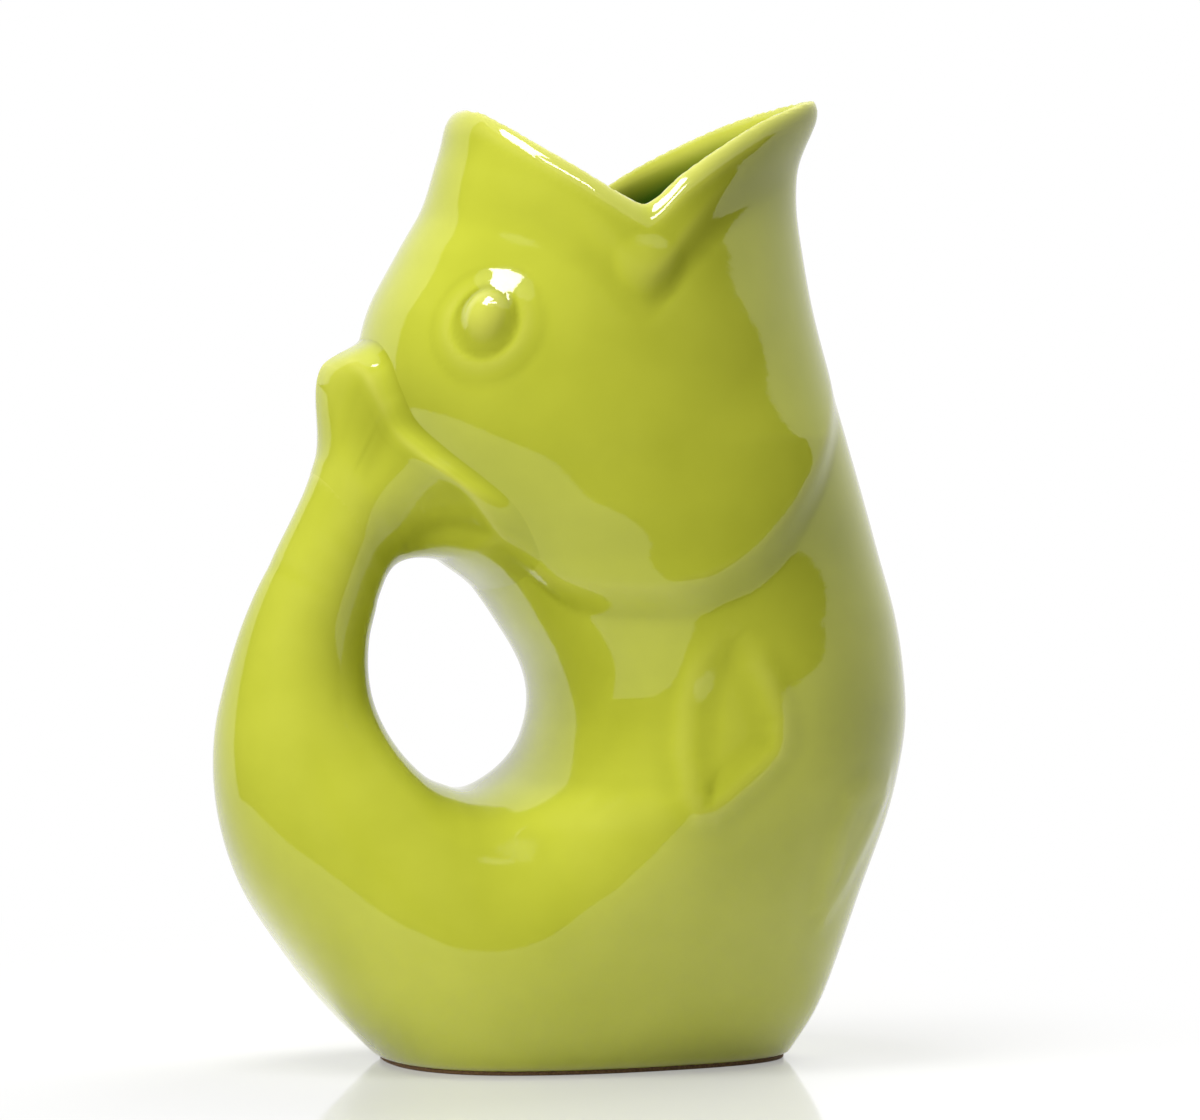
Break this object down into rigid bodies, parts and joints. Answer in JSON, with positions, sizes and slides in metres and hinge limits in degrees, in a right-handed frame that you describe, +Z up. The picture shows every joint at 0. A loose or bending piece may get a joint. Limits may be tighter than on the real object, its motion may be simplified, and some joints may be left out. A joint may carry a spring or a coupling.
{
  "type": "gurgle jug",
  "caption": "Glazed fish-shaped jug standing on its foot, with a wide open mouth as spout and a hollow curled tail as handle.",
  "frame": {"origin": "bottom centre of the bounding box, on the plane that the foot stands on", "axes": "+X from the curled tail towards the spout, +Y to the fish's left, +Z up"},
  "size_m": [0.1733, 0.1204, 0.2385],
  "materials": {
    "glaze": "gloss",
    "clay": "matte"
  },
  "bodies": {
    "root": {"body": "glaze", "tail_handle": "glaze", "tail_fin": "glaze", "left_eye": "glaze", "right_eye": "glaze", "left_pectoral_fin": "glaze", "right_pectoral_fin": "glaze", "left_pelvic_fin": "glaze", "right_pelvic_fin": "glaze", "foot_ring": "clay"}
  },
  "joints": []
}
